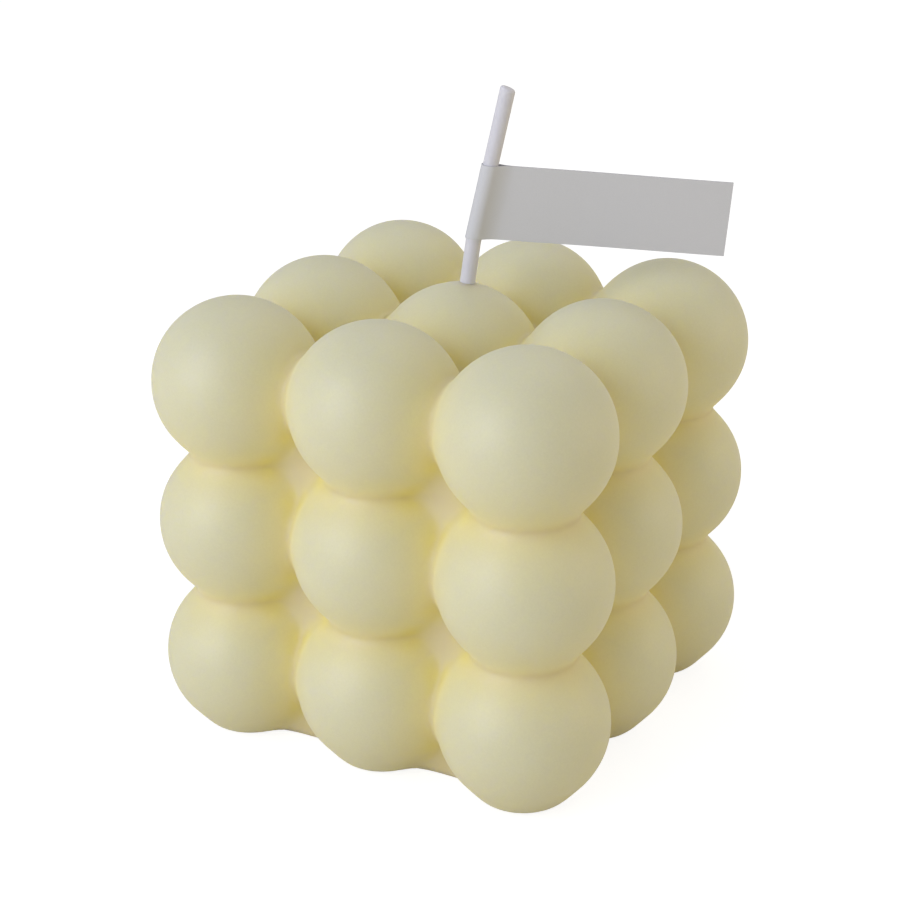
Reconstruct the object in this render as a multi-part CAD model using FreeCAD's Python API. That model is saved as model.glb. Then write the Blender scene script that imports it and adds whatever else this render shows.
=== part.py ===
import FreeCAD
import Part

import math
import os

# Decorative bubble candle: a cube of wax balls cast in one piece, a waxed cotton wick that
# leans out of its crown, and a paper flag folded round the wick.
# Millimetres, +Z up. The origin is the middle of the flat base, on the surface it stands on.
# The sides of the cube face along X and Y.

# Wax casting
BALLS_PER_SIDE = 3
BALL_RADIUS = 10.4
SIDE_OVERLAP = 1.2          # how deep two balls side by side run into each other
STACK_OVERLAP = 2.8         # the same for two balls one above the other
CORE_STEP = 1.6             # how far the core's faces stand outside the outer ball centres
CORE_EDGE_RADIUS = 3.0      # rounding of the core's long edges, inside the outer balls
CREASE_RADIUS = 1.2         # rounding left by the mould wherever two wax faces meet

# Flat base, where the mould was open
BASE_TRIM = 0.41            # slice missing from the bottom of the lowest balls
FOOT_SHARE = 0.5            # radius of the flat that a lowest ball tapers to, over the ball's own

# Wick
WICK_DIAMETER = 1.9
WICK_CLEARANCE = 0.03       # between the wick and its channel in the wax
WICK_EXIT_OFFSET = 1.25     # from the candle's middle to the wick, at the crown
LEAN_BEARING = 30.5         # degrees from +X towards +Y, the way the wick leans
FIRST_LEAN = 7.9            # degrees from upright, just above the wax
FIRST_RUN = 4.4
UPPER_LEAN = 12.4           # degrees from upright, from the flag to the tip
UPPER_RUN = 19.3
WICK_BEND_RADIUS = 8.0
WICK_TIP_RADIUS = 0.45

# Paper flag
FLAG_HEIGHT = 9.15
FLAG_REACH = 30.0           # from the middle of the wick to the free end
FLAG_RISE = 9.7             # from the crown up to the middle of the flag, at the wick
FLAG_DROOP = 4.85           # degrees that its long edges fall towards the free end
PAPER_THICKNESS = 0.13
GLUE_THICKNESS = 0.06       # between the two leaves
FLAG_CLEARANCE = 0.03       # between the paper and the wick
LEAVES_MEET = 3.0           # from the middle of the wick to where the two leaves touch

# Telling edges apart
NEGLIGIBLE = 0.001          # shorter lengths count as nothing
SMOOTH_JOIN = 1.0           # degrees: faces that meet at less than this join smoothly

UP = FreeCAD.Vector(0, 0, 1)
SIDE_PITCH = 2 * BALL_RADIUS - SIDE_OVERLAP
STACK_PITCH = 2 * BALL_RADIUS - STACK_OVERLAP
LOWEST_CENTRE = BALL_RADIUS - BASE_TRIM
FOOT_RADIUS = BALL_RADIUS * FOOT_SHARE
LAST_BALL = BALLS_PER_SIDE - 1
OUTER_CENTRE = SIDE_PITCH * LAST_BALL / 2
TOP_CENTRE = LOWEST_CENTRE + STACK_PITCH * LAST_BALL
CROWN = TOP_CENTRE + BALL_RADIUS
WICK_RADIUS = WICK_DIAMETER / 2


def ball_centre(column, row, layer):
    x = column * SIDE_PITCH - OUTER_CENTRE
    y = row * SIDE_PITCH - OUTER_CENTRE
    return FreeCAD.Vector(x, y, LOWEST_CENTRE + layer * STACK_PITCH)


def outer_places():
    """Grid places of the balls that show; the ones inside are part of the core."""
    places = []
    for column in range(BALLS_PER_SIDE):
        for row in range(BALLS_PER_SIDE):
            for layer in range(BALLS_PER_SIDE):
                place = (column, row, layer)
                if 0 in place or LAST_BALL in place:
                    places.append(place)
    return places


def towards_core(point):
    """Turn that puts the joint line of a round surface on the side that faces the core."""
    inward = FreeCAD.Vector(math.copysign(1, -point.x), math.copysign(1, -point.y), 0)
    return FreeCAD.Rotation(FreeCAD.Vector(1, 0, 0), inward)


def full_ball(place):
    centre = ball_centre(*place)
    solid = Part.makeSphere(BALL_RADIUS)
    solid.Placement = FreeCAD.Placement(centre, towards_core(centre))
    return solid


def footed_ball(place):
    """One of the lowest balls, turned about its axis: round above, tapering to a flat foot."""
    taper = math.acos(BALL_RADIUS / math.hypot(LOWEST_CENTRE, FOOT_RADIUS))
    taper += math.atan2(FOOT_RADIUS, LOWEST_CENTRE)
    middle = FreeCAD.Vector(0, 0, 0)
    rim = FreeCAD.Vector(FOOT_RADIUS, 0, 0)
    tangent = FreeCAD.Vector(math.sin(taper), 0, -math.cos(taper)) * BALL_RADIUS + UP * LOWEST_CENTRE
    widest = FreeCAD.Vector(BALL_RADIUS, 0, LOWEST_CENTRE)
    top = UP * (LOWEST_CENTRE + BALL_RADIUS)
    outline = [Part.LineSegment(middle, rim).toShape(), Part.LineSegment(rim, tangent).toShape(),
               Part.Arc(tangent, widest, top).toShape(), Part.LineSegment(top, middle).toShape()]
    solid = Part.Face(Part.Wire(outline)).revolve(middle, UP)
    foot = ball_centre(*place)
    foot.z = 0
    solid.Placement = FreeCAD.Placement(foot, towards_core(foot))
    return solid


def core_block():
    """The wax between the balls: a block with rounded edges, flat at the base."""
    half = OUTER_CENTRE + CORE_STEP
    height = TOP_CENTRE + CORE_STEP
    block = Part.makeBox(2 * half, 2 * half, height, FreeCAD.Vector(-half, -half, 0))
    upper_edges = [edge for edge in block.Edges if edge.BoundBox.ZMax > 0]
    return block.makeFillet(CORE_EDGE_RADIUS, upper_edges)


def is_crease(solid, edge):
    """True where the two faces beside an edge meet at an angle."""
    faces = solid.ancestorsOfType(edge, Part.Face)
    if len(faces) < 2:
        return False
    point = edge.valueAt((edge.FirstParameter + edge.LastParameter) / 2)
    normals = [face.normalAt(*face.Surface.parameter(point)) for face in faces]
    return normals[0].getAngle(normals[1]) > math.radians(SMOOTH_JOIN)


def base_cutter():
    """Everything below the surface that the candle stands on."""
    reach = OUTER_CENTRE + 2 * BALL_RADIUS
    return Part.makeBox(2 * reach, 2 * reach, BALL_RADIUS, FreeCAD.Vector(-reach, -reach, -BALL_RADIUS))


def blended_casting():
    """Balls and core in one solid, with every inside corner rounded."""
    footed = [footed_ball(place) for place in outer_places() if place[2] == 0]
    full = [full_ball(place) for place in outer_places() if place[2] > 0]
    solid = core_block().fuse(footed + full).removeSplitter()
    inside_corners = []
    for edge in solid.Edges:
        if edge.Degenerated or edge.BoundBox.ZMax < NEGLIGIBLE:
            continue
        if is_crease(solid, edge):
            inside_corners.append(edge)
    return solid.makeFillet(CREASE_RADIUS, inside_corners).cut(base_cutter())


def in_lean_plane(out, height):
    """Point in the upright plane that the wick leans in."""
    bearing = math.radians(LEAN_BEARING)
    return FreeCAD.Vector(out * math.cos(bearing), out * math.sin(bearing), height)


def along(lean):
    """Direction in the lean plane, as an angle in degrees from upright."""
    return in_lean_plane(math.sin(math.radians(lean)), math.cos(math.radians(lean)))


def wick_exit():
    """Where the middle of the wick leaves the wax."""
    height = TOP_CENTRE + math.sqrt(BALL_RADIUS ** 2 - WICK_EXIT_OFFSET ** 2)
    return in_lean_plane(WICK_EXIT_OFFSET, height)


def channel_lean():
    """Angle from upright, in degrees, of the straight stretch inside the wax."""
    return math.degrees(math.atan2(WICK_EXIT_OFFSET, wick_exit().z))


def bend_setback(first_lean, second_lean):
    """Distance from a corner of the wick's path to where its bend starts."""
    return WICK_BEND_RADIUS * math.tan(math.radians(second_lean - first_lean) / 2)


def wick_corners():
    """Corners of the wick's path, from just below the base to the tip."""
    below_base = along(channel_lean()) * -WICK_DIAMETER
    leaving = bend_setback(channel_lean(), FIRST_LEAN)
    first_corner = wick_exit() + along(channel_lean()) * leaving
    second_corner = first_corner + along(FIRST_LEAN) * FIRST_RUN
    tip = second_corner + along(UPPER_LEAN) * UPPER_RUN
    return [below_base, first_corner, second_corner, tip]


def bend(corner, first_lean, second_lean):
    """Arc that rounds a corner of the path, with its start and its end."""
    setback = bend_setback(first_lean, second_lean)
    start = corner - along(first_lean) * setback
    end = corner + along(second_lean) * setback
    inward = (along(second_lean) - along(first_lean)).normalize()
    half_turn = math.radians(second_lean - first_lean) / 2
    sagitta = WICK_BEND_RADIUS * (1 / math.cos(half_turn) - 1)
    return start, end, Part.Arc(start, corner + inward * sagitta, end).toShape()


def wick_path():
    start, first_corner, second_corner, tip = wick_corners()
    leave, rise, first_bend = bend(first_corner, channel_lean(), FIRST_LEAN)
    turn, run, second_bend = bend(second_corner, FIRST_LEAN, UPPER_LEAN)
    inside = Part.LineSegment(start, leave).toShape()
    middle = Part.LineSegment(rise, turn).toShape()
    upper = Part.LineSegment(run, tip).toShape()
    return Part.Wire([inside, first_bend, middle, second_bend, upper])


def wick():
    """Round wick of even thickness, cut square at the tip and flush with the base."""
    start = wick_corners()[0]
    tip = wick_corners()[-1]
    section = Part.Wire(Part.makeCircle(WICK_RADIUS, start, along(channel_lean())))
    swept = wick_path().makePipeShell([section], True, False)
    solid = swept.cut(base_cutter())
    tip_edges = [edge for edge in solid.Edges if (edge.CenterOfMass - tip).Length < WICK_RADIUS / 2]
    return solid.makeFillet(WICK_TIP_RADIUS, tip_edges)


def wick_channel():
    """Straight hole that the wick fills, from below the base to above the crown."""
    direction = along(channel_lean())
    start = direction * -BALL_RADIUS
    length = wick_exit().Length + 2 * BALL_RADIUS
    return Part.makeCylinder(WICK_RADIUS + WICK_CLEARANCE, length, start, direction)


def wax_body():
    return blended_casting().cut(wick_channel())


def flag_loop(round_radius, curve_radius, centre, half_thickness, reach):
    """Closed outline seen along the wick: round the wick, then flattening into the leaves."""
    towards = centre / centre.Length
    leave = towards * round_radius
    flat = FreeCAD.Vector(centre.x, half_thickness, 0)
    halfway = ((leave + flat) / 2 - centre).normalize()
    bulge = centre + halfway * curve_radius
    end = FreeCAD.Vector(reach, half_thickness, 0)
    far_side = Part.Arc(leave, bulge, flat).toShape()
    near_side = far_side.mirror(FreeCAD.Vector(0, 0, 0), FreeCAD.Vector(0, 1, 0))
    mirrored = [FreeCAD.Vector(point.x, -point.y, 0) for point in (leave, flat, end)]
    round_wick = Part.Arc(leave, FreeCAD.Vector(-round_radius, 0, 0), mirrored[0]).toShape()
    edges = [round_wick, near_side, far_side, Part.LineSegment(end, mirrored[2]).toShape()]
    if reach > centre.x:
        edges.append(Part.LineSegment(flat, end).toShape())
        edges.append(Part.LineSegment(mirrored[1], mirrored[2]).toShape())
    return Part.Face(Part.Wire(Part.__sortEdges__(edges)))


def flag_section():
    """Section of the folded strip: two leaves glued together, open where the wick passes."""
    inner_radius = WICK_RADIUS + FLAG_CLEARANCE
    half_glue = GLUE_THICKNESS / 2
    half_thickness = half_glue + PAPER_THICKNESS
    curve_radius = (LEAVES_MEET ** 2 + half_glue ** 2 - inner_radius ** 2) / (2 * (inner_radius - half_glue))
    centre = FreeCAD.Vector(LEAVES_MEET, curve_radius + half_glue, 0)
    outside = flag_loop(inner_radius + PAPER_THICKNESS, curve_radius - PAPER_THICKNESS,
                        centre, half_thickness, 2 * FLAG_REACH)
    inside = flag_loop(inner_radius, curve_radius, centre, half_glue, LEAVES_MEET)
    return outside.cut(inside)


def flag_middle():
    """Point on the wick at the middle of the flag's height."""
    second_corner, tip = wick_corners()[2:]
    rise = CROWN + FLAG_RISE - second_corner.z
    return second_corner + along(UPPER_LEAN) * (rise / math.cos(math.radians(UPPER_LEAN)))


def leaned(degrees):
    """Place on the wick at the flag, with its height tilted from upright in the lean plane."""
    bearing = FreeCAD.Rotation(UP, LEAN_BEARING)
    tilt = FreeCAD.Rotation(FreeCAD.Vector(0, 1, 0), degrees)
    return FreeCAD.Placement(flag_middle(), bearing * tilt)


def flag_label():
    """Paper strip folded round the wick and cut to its oblong outline."""
    stretch = FLAG_REACH + FLAG_HEIGHT
    folded = flag_section().extrude(UP * 2 * stretch)
    folded.translate(UP * -stretch)
    folded.Placement = leaned(UPPER_LEAN) * folded.Placement
    corner = FreeCAD.Vector(-LEAVES_MEET, -LEAVES_MEET, -FLAG_HEIGHT / 2)
    strip = Part.makeBox(FLAG_REACH + LEAVES_MEET, 2 * LEAVES_MEET, FLAG_HEIGHT, corner)
    strip.Placement = leaned(FLAG_DROOP) * strip.Placement
    return folded.common(strip)


os.makedirs("parts", exist_ok=True)
for name, shape in (("wax_body", wax_body()), ("wick", wick()), ("flag_label", flag_label())):
    shape.exportStep("parts/" + name + ".step")
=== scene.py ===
import math

import bmesh
import bpy
import numpy as np
from mathutils import Matrix, Vector


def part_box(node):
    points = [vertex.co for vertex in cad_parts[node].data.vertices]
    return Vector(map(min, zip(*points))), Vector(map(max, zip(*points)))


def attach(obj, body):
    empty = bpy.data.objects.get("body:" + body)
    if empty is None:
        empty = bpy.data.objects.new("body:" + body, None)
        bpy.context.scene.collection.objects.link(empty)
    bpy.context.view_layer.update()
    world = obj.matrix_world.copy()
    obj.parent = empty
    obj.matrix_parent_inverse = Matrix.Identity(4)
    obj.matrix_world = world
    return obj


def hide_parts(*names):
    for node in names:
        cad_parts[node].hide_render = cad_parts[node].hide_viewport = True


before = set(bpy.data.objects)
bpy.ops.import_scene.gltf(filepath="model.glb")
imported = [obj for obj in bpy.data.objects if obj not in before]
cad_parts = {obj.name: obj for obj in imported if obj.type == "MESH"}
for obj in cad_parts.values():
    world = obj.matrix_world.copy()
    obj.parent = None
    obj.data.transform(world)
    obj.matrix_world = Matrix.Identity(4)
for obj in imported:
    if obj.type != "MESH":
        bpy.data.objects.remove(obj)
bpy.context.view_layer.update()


# The camera stands at the photograph's angle: a little over an arm's length away, looking down on
# the corner between the two front sides. The long lens keeps the upright rows of balls nearly
# parallel.
CAMERA_BEARING = math.radians(29.25)      # round the candle, from the middle of its front side
CAMERA_ELEVATION = math.radians(21.69)
CAMERA_DISTANCE = 0.2514                  # from the middle of the cube of balls
CAMERA_ROLL = math.radians(-0.22)
CAMERA_SLIDE = (-0.00109, 0.00545)        # sideways and upwards, across the line of sight
SENSOR_WIDTH = 36.0
LENS_LENGTH = 78.75
CUBE_MIDDLE = Vector((0, 0, 0.02799))

sideways = Matrix.Rotation(CAMERA_BEARING, 3, "Z")
tilt = Matrix.Rotation(math.pi / 2 - CAMERA_ELEVATION, 3, "X")
roll = Matrix.Rotation(CAMERA_ROLL, 3, "Z")
facing = sideways @ tilt @ roll
lens = bpy.data.cameras.new("camera")
lens.sensor_width = SENSOR_WIDTH
lens.lens = LENS_LENGTH
lens.clip_start = 0.01
camera = bpy.data.objects.new("camera", lens)
camera.matrix_world = Matrix.Translation(
    CUBE_MIDDLE + facing @ Vector((*CAMERA_SLIDE, CAMERA_DISTANCE))) @ facing.to_4x4()
bpy.context.scene.collection.objects.link(camera)
bpy.context.scene.camera = camera


# The wax body is one casting from a silicone mould: a cube of three by three by three balls round
# a solid core. Mould and melt leave every inside corner softly rounded, and the open side of the
# mould leaves the base flat, with a slightly flared foot under each of the lowest balls.
BALL_RADIUS = 0.0104
FIRST_LAYER = 0.00999                     # height of the middle of the lowest balls
LAYER_PITCH = 0.0180
CORE_STEP = 0.0016                        # core faces outside the middles of the outer balls
CORE_ROUNDING = 0.0030
FOOT_RADIUS = 0.0052
CREASE_SOFTNESS = 0.0009                  # how far wax fills the corner between two surfaces
BASE_SOFTNESS = 0.00045                   # rounding of the rim of the flat base
UNEVENNESS = 0.00010                      # how far the poured wax shrinks away from a true ball
UNEVEN_SPAN = 0.009                       # from one shallow hollow to the next
UNEVEN_WAVES = 9                          # rolling waves that make up the hollows
SUNK = 0.0007                             # of the top's middle ball, as wax cooled round the wick
WICK_EXIT = 0.00115                       # from the middle of the sunk ball's top to the wick
LEAN_BEARING = math.radians(30.5)         # the way the wick leans, from +X towards +Y
CHANNEL_RADIUS = 0.00098                  # of the hole that the wick fills
CHANNEL_SIDES = 64
CLINGING = 0.0080                         # length below the exit where wax clings to the wick
SLEEVE_RADIUS = 0.00020                   # of the line inside the wick that draws wax up round it
SLEEVE_RISE = 0.0004                      # how far that line draws, above the exit
CASTING_GRAIN = 0.00056                   # size of a face of the mesh
FINE_REACH = 0.0027                       # finer faces this close to the wick's exit
RIM_ANGLE = math.radians(70)              # a fold steeper than this is a sharp rim
FOOT_SIDES = 48
SETTLING_STEPS = 6
NUDGE = 1e-6                              # step for measuring how steeply the depth changes
LEAST_STEEPNESS = 0.1                     # keeps a settling step short deep in a crease
CREASE_GLOW_REACH = 0.0048                     # how far the painted glow of a crease spreads on a ball
POCKET_GLOW_REACH = 0.0023                     # the same where three surfaces meet
CREASE_GLOW_SHARE = 0.4                       # share of the painted glow where only two surfaces meet
POCKET_GLOW_SHARE = 0.6                       # what a third surface adds
WEB_REACH = 0.0010                        # how soon the core between the balls takes a pinker tint
OPEN_WAX = (0.632, 0.623, 0.463, 1)
# Painted glow: creases and pockets get a brighter, yellower colour in place of light that passes
# through the wax and bounces between the balls.
PAINTED_CREASE_GLOW = (0.765, 0.705, 0.39, 1)
PAINTED_POCKET_GLOW = (0.90, 0.79, 0.08, 1)
WEB_WAX = (0.66, 0.575, 0.35, 1)

wax_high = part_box("wax_body")[1]
outer_middle = wax_high.x - BALL_RADIUS
top_layer = FIRST_LAYER + 2 * LAYER_PITCH
crown = top_layer + BALL_RADIUS
core_half = outer_middle + CORE_STEP
core_top = top_layer + CORE_STEP
ball_middles = np.array([
    (column * outer_middle, row * outer_middle,
     FIRST_LAYER + layer * LAYER_PITCH - SUNK * (column == row == 0 and layer == 2))
    for column in (-1, 0, 1) for row in (-1, 0, 1) for layer in (0, 1, 2)
])
foot_slope = math.atan2(FOOT_RADIUS, FIRST_LAYER)
foot_slope += math.acos(BALL_RADIUS / math.hypot(FIRST_LAYER, FOOT_RADIUS))


def part_distances(points):
    """How far each point lies outside each ball and the core; below zero is inside."""
    parts = []
    for middle in ball_middles:
        away = points - middle
        from_ball = np.linalg.norm(away, axis=1) - BALL_RADIUS
        if middle[2] == FIRST_LAYER:
            spread = np.hypot(away[:, 0], away[:, 1])
            drop = -away[:, 2]
            from_foot = spread * math.sin(foot_slope) + drop * math.cos(foot_slope) - BALL_RADIUS
            below = spread * math.cos(foot_slope) < drop * math.sin(foot_slope)
            from_ball = np.where(below, from_foot, from_ball)
        parts.append(from_ball)
    core_reach = np.array((core_half, core_half, core_top)) - CORE_ROUNDING
    past_core = np.abs(points) - core_reach
    past_core[:, 2] = points[:, 2] - core_reach[2]
    outside = np.linalg.norm(np.maximum(past_core, 0), axis=1)
    inside = np.minimum(past_core.max(axis=1), 0)
    parts.append(outside + inside - CORE_ROUNDING)
    return np.array(parts)


def in_lean_plane(out, height):
    """Point in the upright plane that the wick leans in."""
    return Vector((out * math.cos(LEAN_BEARING), out * math.sin(LEAN_BEARING), height))


exit_rise = math.sqrt(BALL_RADIUS ** 2 - WICK_EXIT ** 2) - SUNK
wick_exit = in_lean_plane(WICK_EXIT, top_layer + exit_rise)


def sleeve_distance(points):
    """How far each point lies outside the sleeve that wax climbs round the wick."""
    upwards = np.array(wick_exit.normalized())
    climb = points @ upwards
    beside = np.linalg.norm(points - np.outer(climb, upwards), axis=1) - SLEEVE_RADIUS
    return np.maximum(beside, climb - wick_exit.length - SLEEVE_RISE)


def shrinkage(points):
    """Shallow rolling unevenness of poured wax, from nothing to its full depth."""
    waves = np.random.default_rng(7).normal(size=(UNEVEN_WAVES, 3))
    waves *= 2 * math.pi / UNEVEN_SPAN / np.linalg.norm(waves, axis=1)[:, None]
    rolling = np.sin(points @ waves.T + np.arange(UNEVEN_WAVES)).mean(axis=1)
    return UNEVENNESS * (0.5 + 0.5 * rolling)


def wax_depth(points):
    """How far each point lies outside the casting, with soft inside corners and a soft rim."""
    surfaces = np.vstack((part_distances(points), sleeve_distance(points)))
    filled = -CREASE_SOFTNESS * np.log(np.exp(-surfaces / CREASE_SOFTNESS).sum(axis=0))
    filled += shrinkage(points)
    below = -points[:, 2]
    return BASE_SOFTNESS * np.logaddexp(filled / BASE_SOFTNESS, below / BASE_SOFTNESS)


def rough_casting():
    """Closed rough mesh of balls, core and feet, with faces of one even size."""
    shape = bmesh.new()
    for middle in ball_middles:
        place = Matrix.Translation(middle)
        bmesh.ops.create_icosphere(shape, subdivisions=4, radius=BALL_RADIUS, matrix=place)
        if middle[2] == FIRST_LAYER:
            place = Matrix.Translation((middle[0], middle[1], FIRST_LAYER / 2))
            bmesh.ops.create_cone(shape, cap_ends=True, segments=FOOT_SIDES, radius1=FOOT_RADIUS,
                                  radius2=FOOT_RADIUS, depth=FIRST_LAYER, matrix=place)
    size = Matrix.Diagonal((2 * core_half, 2 * core_half, core_top, 1))
    place = Matrix.Translation((0, 0, core_top / 2))
    bmesh.ops.create_cube(shape, size=1, matrix=place @ size)
    mesh = bpy.data.meshes.new("casting")
    shape.to_mesh(mesh)
    shape.free()
    casting = bpy.data.objects.new("wax_casting", mesh)
    bpy.context.scene.collection.objects.link(casting)
    even = casting.modifiers.new("even faces", "REMESH")
    even.mode = "VOXEL"
    even.voxel_size = CASTING_GRAIN
    even.use_smooth_shade = True
    return casting


def keep_modified(piece):
    """Replaces a piece's mesh by what its modifiers make of it."""
    bpy.context.view_layer.update()
    evaluated = piece.evaluated_get(bpy.context.evaluated_depsgraph_get())
    made = bpy.data.meshes.new_from_object(evaluated)
    piece.modifiers.clear()
    piece.data = made


def settle_on_wax(mesh):
    """Moves every vertex onto the surface of the wax."""
    points = np.empty(len(mesh.vertices) * 3)
    mesh.vertices.foreach_get("co", points)
    points = points.reshape(-1, 3)
    for _ in range(SETTLING_STEPS):
        depth = wax_depth(points)
        slope = np.stack([
            (wax_depth(points + NUDGE * axis) - wax_depth(points - NUDGE * axis)) / (2 * NUDGE)
            for axis in np.eye(3)
        ], axis=1)
        steepness = np.maximum((slope ** 2).sum(axis=1), LEAST_STEEPNESS)
        points -= (depth / steepness)[:, None] * slope
    mesh.vertices.foreach_set("co", points.ravel())
    mesh.update()


wax = rough_casting()
keep_modified(wax)
shape = bmesh.new()
shape.from_mesh(wax.data)
crown_edges = [edge for edge in shape.edges
               if max((corner.co - wick_exit).length for corner in edge.verts) < FINE_REACH]
bmesh.ops.subdivide_edges(shape, edges=crown_edges, cuts=2, use_grid_fill=True)
shape.to_mesh(wax.data)
shape.free()
settle_on_wax(wax.data)

shape = bmesh.new()
place = wick_exit.to_track_quat("Z", "Y").to_matrix().to_4x4()
place.translation = -wick_exit.normalized() * CLINGING
bmesh.ops.create_cone(shape, cap_ends=True, segments=CHANNEL_SIDES, radius1=CHANNEL_RADIUS,
                      radius2=CHANNEL_RADIUS, depth=2 * wick_exit.length, matrix=place)
drill_mesh = bpy.data.meshes.new("drill")
shape.to_mesh(drill_mesh)
shape.free()
drill = bpy.data.objects.new("drill", drill_mesh)
bpy.context.scene.collection.objects.link(drill)
channel = wax.modifiers.new("wick channel", "BOOLEAN")
channel.operation = "DIFFERENCE"
channel.solver = "EXACT"
channel.object = drill
keep_modified(wax)
bpy.data.objects.remove(drill)
wax.data.set_sharp_from_angle(angle=RIM_ANGLE)

# Painted glow: the nearer a point lies to a second and a third surface, the more of the yellow
# crease colour it gets, in place of light passing through the wax and bouncing in the creases.
points = np.empty(len(wax.data.vertices) * 3)
wax.data.vertices.foreach_get("co", points)
distances = np.maximum(part_distances(points.reshape(-1, 3)), 0)
_, second, third = np.sort(distances, axis=0)[:3]
crease = wax.data.attributes.new("crease", "FLOAT", "POINT")
painted_glow_mask = CREASE_GLOW_SHARE * np.exp(-second / CREASE_GLOW_REACH)
painted_glow_mask += POCKET_GLOW_SHARE * np.exp(-third / POCKET_GLOW_REACH)
crease.data.foreach_set("value", painted_glow_mask)
web = wax.data.attributes.new("web", "FLOAT", "POINT")
web.data.foreach_set("value", 1 - np.exp(-distances[:-1].min(axis=0) / WEB_REACH))

cream_wax = bpy.data.materials.new("cream_wax")
cream_wax.use_nodes = True
nodes = cream_wax.node_tree.nodes
links = cream_wax.node_tree.links
shader = nodes["Principled BSDF"]
# The ramp paints the creases and pockets a brighter yellow: a painted glow on top of the wax's own
# pale cream.
painted_glow_value = nodes.new("ShaderNodeAttribute")
painted_glow_value.attribute_name = "crease"
wax_and_painted_glow = nodes.new("ShaderNodeValToRGB")
wax_and_painted_glow.color_ramp.elements[0].position = 0.06
wax_and_painted_glow.color_ramp.elements[0].color = OPEN_WAX
wax_and_painted_glow.color_ramp.elements[1].position = 0.80
wax_and_painted_glow.color_ramp.elements[1].color = PAINTED_POCKET_GLOW
wax_and_painted_glow.color_ramp.elements.new(CREASE_GLOW_SHARE).color = PAINTED_CREASE_GLOW
links.new(painted_glow_value.outputs["Fac"], wax_and_painted_glow.inputs["Fac"])
cloud = nodes.new("ShaderNodeTexNoise")
cloud.inputs["Scale"].default_value = 240
cloud.inputs["Detail"].default_value = 3
cloudy = nodes.new("ShaderNodeMix")
cloudy.data_type = "RGBA"
cloudy.blend_type = "SOFT_LIGHT"
cloudy.inputs["Factor"].default_value = 0.12
links.new(wax_and_painted_glow.outputs["Color"], cloudy.inputs["A"])
links.new(cloud.outputs["Fac"], cloudy.inputs["B"])
web_value = nodes.new("ShaderNodeAttribute")
web_value.attribute_name = "web"
webbed = nodes.new("ShaderNodeMix")
webbed.data_type = "RGBA"
webbed.inputs["B"].default_value = WEB_WAX
links.new(web_value.outputs["Fac"], webbed.inputs["Factor"])
links.new(cloudy.outputs["Result"], webbed.inputs["A"])
links.new(webbed.outputs["Result"], shader.inputs["Base Color"])
bloom = nodes.new("ShaderNodeTexNoise")
bloom.inputs["Scale"].default_value = 1400
bloom.inputs["Detail"].default_value = 2
skin = nodes.new("ShaderNodeBump")
skin.inputs["Strength"].default_value = 0.12
skin.inputs["Distance"].default_value = 0.00004
links.new(bloom.outputs["Fac"], skin.inputs["Height"])
links.new(skin.outputs["Normal"], shader.inputs["Normal"])
shader.inputs["Roughness"].default_value = 0.48
shader.inputs["Specular IOR Level"].default_value = 0.6
shader.inputs["Sheen Weight"].default_value = 0.10
shader.inputs["Sheen Roughness"].default_value = 0.4
shader.inputs["Subsurface Weight"].default_value = 1.0
shader.inputs["Subsurface Radius"].default_value = (1.0, 0.92, 0.33)
shader.inputs["Subsurface Scale"].default_value = 0.0045
wax.data.materials.clear()
wax.data.materials.append(cream_wax)
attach(wax, "root")
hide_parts("wax_body")


# The wick is a round braid of cotton, soaked in wax and pulled straight, about two millimetres
# thick. It is cast into the candle from base to crown, leans as it leaves the wax, and was nipped
# off a little slanted at the top.
WICK_RADIUS = 0.00095
FIRST_LEAN = math.radians(7.9)            # from upright, just above the wax
FIRST_RUN = 0.0051                        # from the wax to the second bend
UPPER_LEAN = math.radians(12.4)           # from upright, from the flag to the tip
UPPER_RUN = 0.0193                        # from the second bend to the tip
WICK_BEND = 0.0080                        # radius of its two slight bends
BRAID_STRANDS = 8
BRAID_TURN = 0.0060                       # length in which a strand goes once round
BRAID_DEPTH = 0.00002
RING_STEP = 0.00012                       # from ring to ring of the mesh, above the wax
RING_POINTS = 48
LAST_IN_WAX = 0.0020                      # last stretch in the wax, with closer rings
TIP_SLANT = math.radians(9)               # of the cut, falling towards the flag
TIP_ROUNDING = 0.00040
COTTON_SHADE = (0.59, 0.59, 0.66, 1)
COTTON_WHITE = (0.65, 0.65, 0.72, 1)

channel_lean = math.atan2(WICK_EXIT, wick_exit.z)


def along(lean):
    """Direction in the lean plane, as an angle from upright."""
    return in_lean_plane(math.sin(lean), math.cos(lean))


def follow(line, length, turn, steps):
    """Adds a straight or evenly bent stretch to a line of points and leans."""
    for _ in range(steps):
        middle, lean, distance = line[-1]
        next_lean = lean + turn / steps
        step = length / steps
        line.append((middle + along((lean + next_lean) / 2) * step, next_lean, distance + step))


def braid_radius(angle, distance):
    """Radius of the wick, which dips a little where its strands meet."""
    twist = 2 * math.pi * distance / BRAID_TURN
    rising = abs(math.sin(BRAID_STRANDS / 2 * (angle + twist)))
    falling = abs(math.sin(BRAID_STRANDS / 2 * (angle - twist)))
    return WICK_RADIUS - BRAID_DEPTH * (1 - max(rising, falling))


first_turn = FIRST_LEAN - channel_lean
second_turn = UPPER_LEAN - FIRST_LEAN
first_setback = WICK_BEND * math.tan(first_turn / 2)
second_setback = WICK_BEND * math.tan(second_turn / 2)
first_straight = FIRST_RUN - first_setback - second_setback
last_straight = UPPER_RUN - second_setback
wick_line = [(Vector((0, 0, 0)), channel_lean, 0.0)]
follow(wick_line, wick_exit.length - LAST_IN_WAX, 0, 20)
follow(wick_line, LAST_IN_WAX, 0, 16)
follow(wick_line, WICK_BEND * first_turn, first_turn, 8)
follow(wick_line, first_straight, 0, round(first_straight / RING_STEP))
flag_turn_start = len(wick_line)
follow(wick_line, WICK_BEND * second_turn, second_turn, 6)
follow(wick_line, last_straight - TIP_ROUNDING, 0, round(last_straight / RING_STEP))
tip_start = len(wick_line)
follow(wick_line, TIP_ROUNDING, 0, 10)
tip_distance = wick_line[-1][2]

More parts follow.
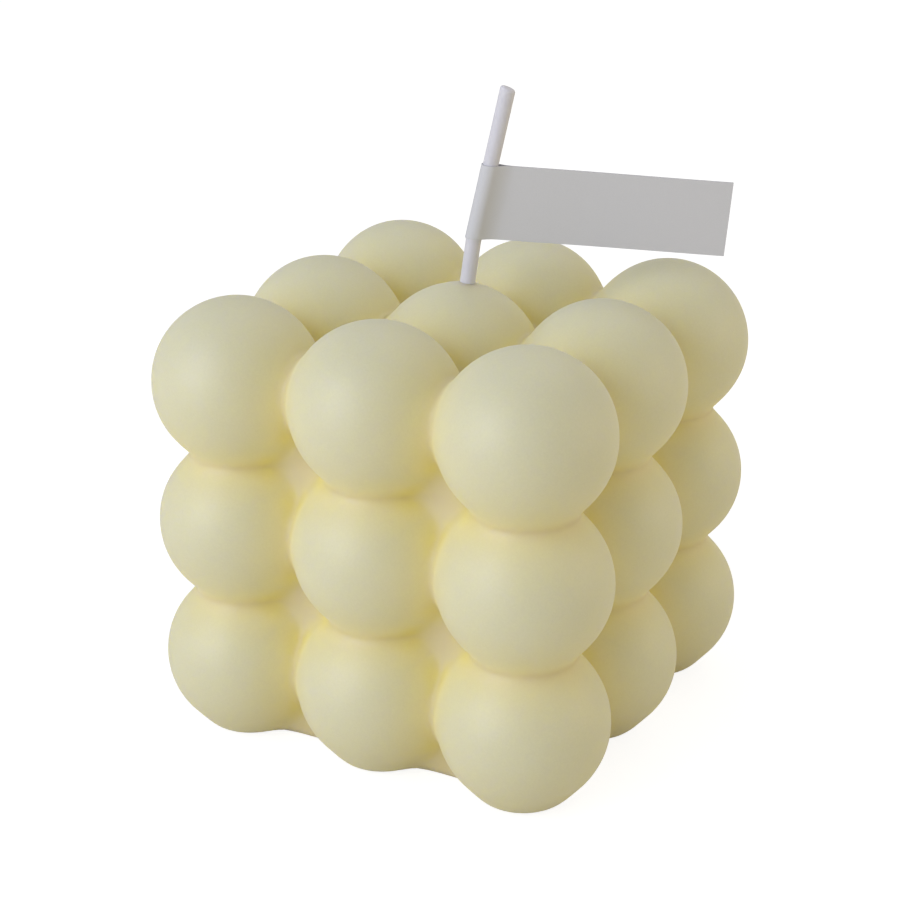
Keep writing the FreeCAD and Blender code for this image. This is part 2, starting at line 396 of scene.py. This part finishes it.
shape = bmesh.new()
loops = []
for number, (middle, lean, distance) in enumerate(wick_line):
    out = along(lean + math.pi / 2)
    aside = along(lean).cross(out)
    rounding = 0.0
    if number >= tip_start:
        past = 1 - (tip_distance - distance) / TIP_ROUNDING
        rounding = TIP_ROUNDING * (1 - math.sqrt(1 - past ** 2))
    sheared = max(0, 1 - (tip_distance - distance) / (2 * WICK_RADIUS))
    loop = []
    for point in range(RING_POINTS):
        angle = 2 * math.pi * point / RING_POINTS
        radius = braid_radius(angle, distance) - rounding
        fall = math.tan(TIP_SLANT) * (WICK_RADIUS + radius * math.cos(angle)) * sheared
        spot = middle + (out * math.cos(angle) + aside * math.sin(angle)) * radius
        if number > 0:
            spot -= along(lean) * fall
        else:
            spot.z = 0
        loop.append(shape.verts.new(spot))
    loops.append(loop)
for lower, upper in zip(loops, loops[1:]):
    for point in range(RING_POINTS):
        following = (point + 1) % RING_POINTS
        corners = lower[point], lower[following], upper[following], upper[point]
        shape.faces.new(corners).smooth = True
shape.faces.new(loops[-1])
shape.faces.new(reversed(loops[0]))
bmesh.ops.recalc_face_normals(shape, faces=shape.faces[:])
wick_mesh = bpy.data.meshes.new("wick_braid")
shape.to_mesh(wick_mesh)
shape.free()
wick = bpy.data.objects.new("wick_braid", wick_mesh)
bpy.context.scene.collection.objects.link(wick)

waxed_cotton = bpy.data.materials.new("waxed_cotton")
waxed_cotton.use_nodes = True
nodes = waxed_cotton.node_tree.nodes
links = waxed_cotton.node_tree.links
shader = nodes["Principled BSDF"]
fibres = nodes.new("ShaderNodeTexNoise")
fibres.inputs["Scale"].default_value = 1500
fibres.inputs["Detail"].default_value = 3
cotton_colour = nodes.new("ShaderNodeValToRGB")
cotton_colour.color_ramp.elements[0].position = 0.3
cotton_colour.color_ramp.elements[0].color = COTTON_SHADE
cotton_colour.color_ramp.elements[1].position = 0.7
cotton_colour.color_ramp.elements[1].color = COTTON_WHITE
links.new(fibres.outputs["Fac"], cotton_colour.inputs["Fac"])
links.new(cotton_colour.outputs["Color"], shader.inputs["Base Color"])
shader.inputs["Roughness"].default_value = 0.6
shader.inputs["Subsurface Weight"].default_value = 0.5
shader.inputs["Subsurface Radius"].default_value = (1.0, 1.0, 1.0)
shader.inputs["Subsurface Scale"].default_value = 0.0008
wick_mesh.materials.append(waxed_cotton)
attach(wick, "root")
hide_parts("wick")


# The flag is one strip of white label paper, folded round the wick and stuck to itself, so that
# its two leaves stand out to one side as one. The strip was wrapped a little askew, so its long
# edges droop less than the wick leans.
FLAG_HEIGHT = 0.00915
FLAG_REACH = 0.0300                       # from the middle of the wick to the free end
FLAG_RISE = 0.0097                        # from the crown up to the middle of the flag
FLAG_DROOP = math.radians(4.85)           # of the long edges, from level
PAPER_THICKNESS = 0.00013
TURN_RADIUS = 0.00098                     # inside the paper's turn round the wick
HALF_GLUE = 0.00003                       # half the gap between the leaves
LEAVES_MEET = 0.0030                      # from the middle of the wick to where the leaves touch
PAPER_WAVE = 0.00010                      # how far the leaves stray from flat
WAVE_ALONG = 5.2                          # turn of the wave from the wick to the free end
WAVE_ACROSS = 0.9                         # and from one long edge to the other
WAVE_START = 3                            # how fast it grows: whole at a third of the leaf
PAPER_SHADE = (0.555, 0.565, 0.605, 1)
PAPER_WHITE = (0.59, 0.60, 0.65, 1)
LEAF_STEPS = 54
FOLD_STEPS = 12
TURN_STEPS = 36
HEIGHT_STEPS = 18

askew = UPPER_LEAN - FLAG_DROOP
second_corner = wick_line[flag_turn_start - 1][0] + along(FIRST_LEAN) * second_setback
flag_climb = (crown + FLAG_RISE - second_corner.z) / math.cos(UPPER_LEAN)
flag_middle = second_corner + along(UPPER_LEAN) * flag_climb
hollow_radius = LEAVES_MEET ** 2 + HALF_GLUE ** 2 - TURN_RADIUS ** 2
hollow_radius /= 2 * (TURN_RADIUS - HALF_GLUE)
hollow_middle = Vector((LEAVES_MEET, hollow_radius + HALF_GLUE))
touch = math.atan2(hollow_middle.y, hollow_middle.x)


def strip_section():
    """The paper seen along the wick: share of the leaf, place of its middle, and way out."""
    middle_radius = hollow_radius - PAPER_THICKNESS / 2
    turn_radius = TURN_RADIUS + PAPER_THICKNESS / 2
    spots = []
    leaf_start = Vector((LEAVES_MEET, HALF_GLUE + PAPER_THICKNESS / 2))
    for step in range(LEAF_STEPS):
        spots.append((1 - step / LEAF_STEPS, leaf_start, Vector((0, 1))))
    for step in range(FOLD_STEPS):
        angle = 1.5 * math.pi + (touch - math.pi / 2) * step / FOLD_STEPS
        way = Vector((math.cos(angle), math.sin(angle)))
        spots.append((0, hollow_middle + way * middle_radius, -way))
    for step in range(TURN_STEPS // 2 + 1):
        angle = touch + (math.pi - touch) * step / (TURN_STEPS // 2)
        way = Vector((math.cos(angle), math.sin(angle)))
        spots.append((0, way * turn_radius, way))
    front = [(share, Vector((spot.x, -spot.y)), Vector((way.x, -way.y)))
             for share, spot, way in spots[:-1]]
    return spots + front[::-1]


def paper_spot(share, section_spot, rise):
    """Point of the strip: share of the way along a leaf, and share of its height above middle."""
    up = along(UPPER_LEAN)
    out = along(UPPER_LEAN + math.pi / 2)
    aside = Vector((-math.sin(LEAN_BEARING), math.cos(LEAN_BEARING), 0))
    climb = rise * FLAG_HEIGHT / math.cos(askew) + section_spot.x * math.tan(askew)
    spot = flag_middle + out * section_spot.x + up * climb
    free_edge = (flag_middle + along(FLAG_DROOP + math.pi / 2) * FLAG_REACH
                 + along(FLAG_DROOP) * rise * FLAG_HEIGHT)
    wave = PAPER_WAVE * math.sin(WAVE_ALONG * share + WAVE_ACROSS * rise)
    wave *= min(1, WAVE_START * share)
    return spot.lerp(free_edge, share) + aside * (section_spot.y + wave)


shape = bmesh.new()
faces_of_paper = []
for side in (-0.5, 0.5):
    grid = []
    for share, section_spot, way in strip_section():
        spot = section_spot + way * PAPER_THICKNESS * side
        grid.append([shape.verts.new(paper_spot(share, spot, step / HEIGHT_STEPS - 0.5))
                     for step in range(HEIGHT_STEPS + 1)])
    faces_of_paper.append(grid)
inner, outer = faces_of_paper
for grid in faces_of_paper:
    for here, beyond in zip(grid, grid[1:]):
        for step in range(HEIGHT_STEPS):
            corners = here[step], beyond[step], beyond[step + 1], here[step + 1]
            shape.faces.new(corners).smooth = True
for edge in (0, HEIGHT_STEPS):
    rims = [(inside[edge], outside[edge]) for inside, outside in zip(inner, outer)]
    for here, beyond in zip(rims, rims[1:]):
        shape.faces.new((*here, *reversed(beyond)))
for end in (0, -1):
    rims = list(zip(inner[end], outer[end]))
    for here, beyond in zip(rims, rims[1:]):
        shape.faces.new((*here, *reversed(beyond)))
bmesh.ops.recalc_face_normals(shape, faces=shape.faces[:])
for edge in shape.edges:
    edge.smooth = all(face.smooth for face in edge.link_faces)
flag_mesh = bpy.data.meshes.new("paper_flag")
shape.to_mesh(flag_mesh)
shape.free()
flag = bpy.data.objects.new("paper_flag", flag_mesh)
bpy.context.scene.collection.objects.link(flag)

label_paper = bpy.data.materials.new("label_paper")
label_paper.use_nodes = True
nodes = label_paper.node_tree.nodes
links = label_paper.node_tree.links
shader = nodes["Principled BSDF"]
mottle = nodes.new("ShaderNodeTexNoise")
mottle.inputs["Scale"].default_value = 260
mottle.inputs["Detail"].default_value = 4
paper_colour = nodes.new("ShaderNodeValToRGB")
paper_colour.color_ramp.elements[0].position = 0.3
paper_colour.color_ramp.elements[0].color = PAPER_SHADE
paper_colour.color_ramp.elements[1].position = 0.7
paper_colour.color_ramp.elements[1].color = PAPER_WHITE
links.new(mottle.outputs["Fac"], paper_colour.inputs["Fac"])
links.new(paper_colour.outputs["Color"], shader.inputs["Base Color"])
shader.inputs["Roughness"].default_value = 0.75
flag_mesh.materials.append(label_paper)
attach(flag, "root")
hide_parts("flag_label")


# The studio: a pale floor that runs off in every direction, a large soft lamp on the camera's left,
# two weaker warm ones on its right and overhead, and an even bright room round them. The floor
# shows white with the candle's soft shadow.
floor_mesh = bpy.data.meshes.new("floor")
shape = bmesh.new()
bmesh.ops.create_grid(shape, x_segments=1, y_segments=1, size=4)
shape.to_mesh(floor_mesh)
shape.free()
floor = bpy.data.objects.new("floor", floor_mesh)
bpy.context.scene.collection.objects.link(floor)

pale_floor = bpy.data.materials.new("pale_floor")
pale_floor.use_nodes = True
nodes = pale_floor.node_tree.nodes
links = pale_floor.node_tree.links
nodes.clear()
surface = nodes.new("ShaderNodeOutputMaterial")
seen = nodes.new("ShaderNodeLightPath")
lit = nodes.new("ShaderNodeBsdfDiffuse")
lit.inputs["Color"].default_value = (0.86, 0.80, 0.64, 1)
shaded = nodes.new("ShaderNodeBsdfDiffuse")
shaded.inputs["Color"].default_value = (0.3, 0.3, 0.3, 1)
glow = nodes.new("ShaderNodeEmission")
glow.inputs["Strength"].default_value = 0.85
mix = nodes.new("ShaderNodeMixShader")
links.new(seen.outputs["Is Camera Ray"], mix.inputs["Fac"])
links.new(lit.outputs["BSDF"], mix.inputs[1])
both = nodes.new("ShaderNodeAddShader")
links.new(shaded.outputs["BSDF"], both.inputs[0])
links.new(glow.outputs["Emission"], both.inputs[1])
links.new(both.outputs["Shader"], mix.inputs[2])
links.new(mix.outputs["Shader"], surface.inputs["Surface"])
floor_mesh.materials.append(pale_floor)

room = bpy.data.worlds.new("room")
room.use_nodes = True
nodes = room.node_tree.nodes
links = room.node_tree.links
nodes.clear()
surface = nodes.new("ShaderNodeOutputWorld")
seen = nodes.new("ShaderNodeLightPath")
light = nodes.new("ShaderNodeBackground")
light.inputs["Color"].default_value = (1.0, 0.98, 0.95, 1)
light.inputs["Strength"].default_value = 0.48
white = nodes.new("ShaderNodeBackground")
white.inputs["Color"].default_value = (1, 1, 1, 1)
white.inputs["Strength"].default_value = 1.0
mix = nodes.new("ShaderNodeMixShader")
links.new(seen.outputs["Is Camera Ray"], mix.inputs["Fac"])
links.new(light.outputs["Background"], mix.inputs[1])
links.new(white.outputs["Background"], mix.inputs[2])
links.new(mix.outputs["Shader"], surface.inputs["Surface"])
bpy.context.scene.world = room

for name, place, size, energy, colour in (
    ("soft_lamp", (-0.50, 0.10, 0.45), 0.6, 3.0, (0.87, 0.90, 1.0)),
    ("warm_fill", (0.62, 0.05, 0.10), 0.6, 1.1, (1.0, 0.84, 0.54)),
    ("top_lamp", (0.20, 0.60, -0.10), 0.6, 0.6, (1.0, 0.97, 0.90)),
):
    light = bpy.data.lights.new(name, "AREA")
    light.shape = "DISK"
    light.size = size
    light.energy = energy
    light.color = colour
    lamp = bpy.data.objects.new(name, light)
    lamp_place = facing @ Vector(place) + CUBE_MIDDLE
    lamp_turn = (lamp_place - CUBE_MIDDLE).to_track_quat("Z", "Y")
    lamp.matrix_world = Matrix.Translation(lamp_place) @ lamp_turn.to_matrix().to_4x4()
    bpy.context.scene.collection.objects.link(lamp)

bpy.context.scene.view_settings.view_transform = "Standard"
